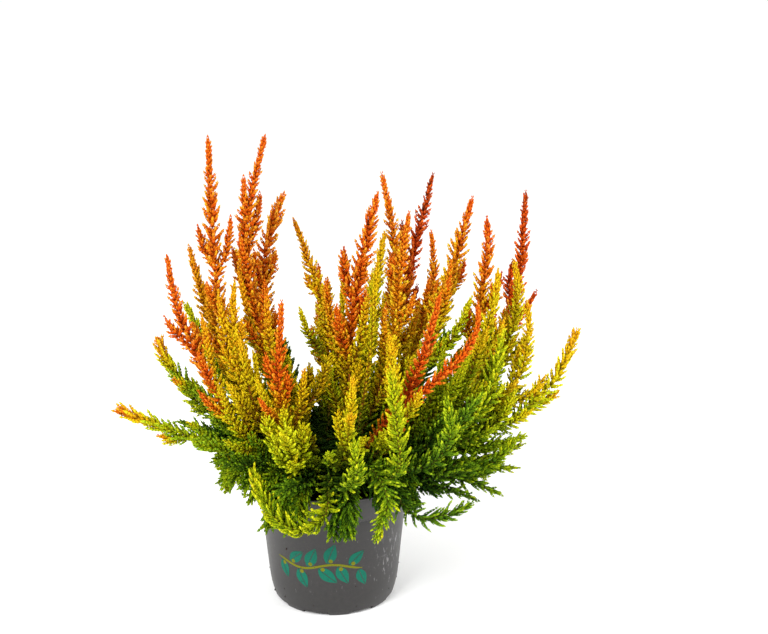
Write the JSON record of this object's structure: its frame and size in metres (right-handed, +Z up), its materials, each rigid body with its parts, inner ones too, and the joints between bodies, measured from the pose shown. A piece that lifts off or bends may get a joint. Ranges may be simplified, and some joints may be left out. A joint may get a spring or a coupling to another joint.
{
  "type": "potted heather",
  "caption": "Bushy potted heather whose leafy shoots run from lime at the foot to gold and orange tips, in a round grey plastic grower's pot that stands on its base.",
  "frame": {"origin": "middle of the pot's underside, on the surface that it stands on", "axes": "+Z up along the pot's axis; -Y towards the front of the plant, as the picture sees it; +X to the viewer's right"},
  "size_m": [0.279, 0.2045, 0.2881],
  "materials": {
    "pot_plastic": "satin thermoformed plastic, taupe grey, scuffed",
    "peat_compost": "crumbly moist peat compost",
    "heather_wood": "thin flaking reddish-brown bark",
    "flame_leaves": "orange-red scale leaves, slightly waxy",
    "gold_leaves": "amber and gold scale leaves, slightly waxy",
    "lime_leaves": "lime green scale leaves, slightly waxy",
    "green_leaves": "mid green shaded scale leaves"
  },
  "bodies": {
    "root": {"pot": "pot_plastic", "compost": "peat_compost", "woody_crown": "heather_wood", "flame_shoot_01": "flame_leaves", "flame_shoot_02": "flame_leaves", "flame_shoot_03": "flame_leaves", "flame_shoot_04": "flame_leaves", "flame_shoot_05": "flame_leaves", "flame_shoot_06": "flame_leaves", "flame_shoot_07": "flame_leaves", "flame_shoot_08": "flame_leaves", "flame_shoot_09": "flame_leaves", "flame_shoot_10": "flame_leaves", "flame_shoot_11": "flame_leaves", "flame_shoot_12": "flame_leaves", "flame_shoot_13": "flame_leaves", "flame_shoot_14": "flame_leaves", "flame_shoot_15": "flame_leaves", "flame_shoot_16": "flame_leaves", "flame_shoot_17": "flame_leaves", "flame_shoot_18": "flame_leaves", "flame_shoot_19": "flame_leaves", "gold_shoot_01": "gold_leaves", "gold_shoot_02": "gold_leaves", "gold_shoot_03": "gold_leaves", "gold_shoot_04": "gold_leaves", "gold_shoot_05": "gold_leaves", "gold_shoot_06": "gold_leaves", "gold_shoot_07": "gold_leaves", "gold_shoot_08": "gold_leaves", "gold_shoot_09": "gold_leaves", "gold_shoot_10": "gold_leaves", "gold_shoot_11": "gold_leaves", "gold_shoot_12": "gold_leaves", "gold_shoot_13": "gold_leaves", "gold_shoot_14": "gold_leaves", "lime_shoot_01": "lime_leaves", "lime_shoot_02": "lime_leaves", "lime_shoot_03": "lime_leaves", "lime_shoot_04": "lime_leaves", "lime_shoot_05": "lime_leaves", "lime_shoot_06": "lime_leaves", "lime_shoot_07": "lime_leaves", "lime_shoot_08": "lime_leaves", "lime_shoot_09": "lime_leaves", "lime_shoot_10": "lime_leaves", "lime_shoot_11": "lime_leaves", "lime_shoot_12": "lime_leaves", "lime_shoot_13": "lime_leaves", "green_shoot_01": "green_leaves", "green_shoot_02": "green_leaves", "green_shoot_03": "green_leaves", "green_shoot_04": "green_leaves", "green_shoot_05": "green_leaves", "green_shoot_06": "green_leaves", "green_shoot_07": "green_leaves", "green_shoot_08": "green_leaves", "green_shoot_09": "green_leaves", "green_shoot_10": "green_leaves", "green_shoot_11": "green_leaves"}
  },
  "joints": []
}
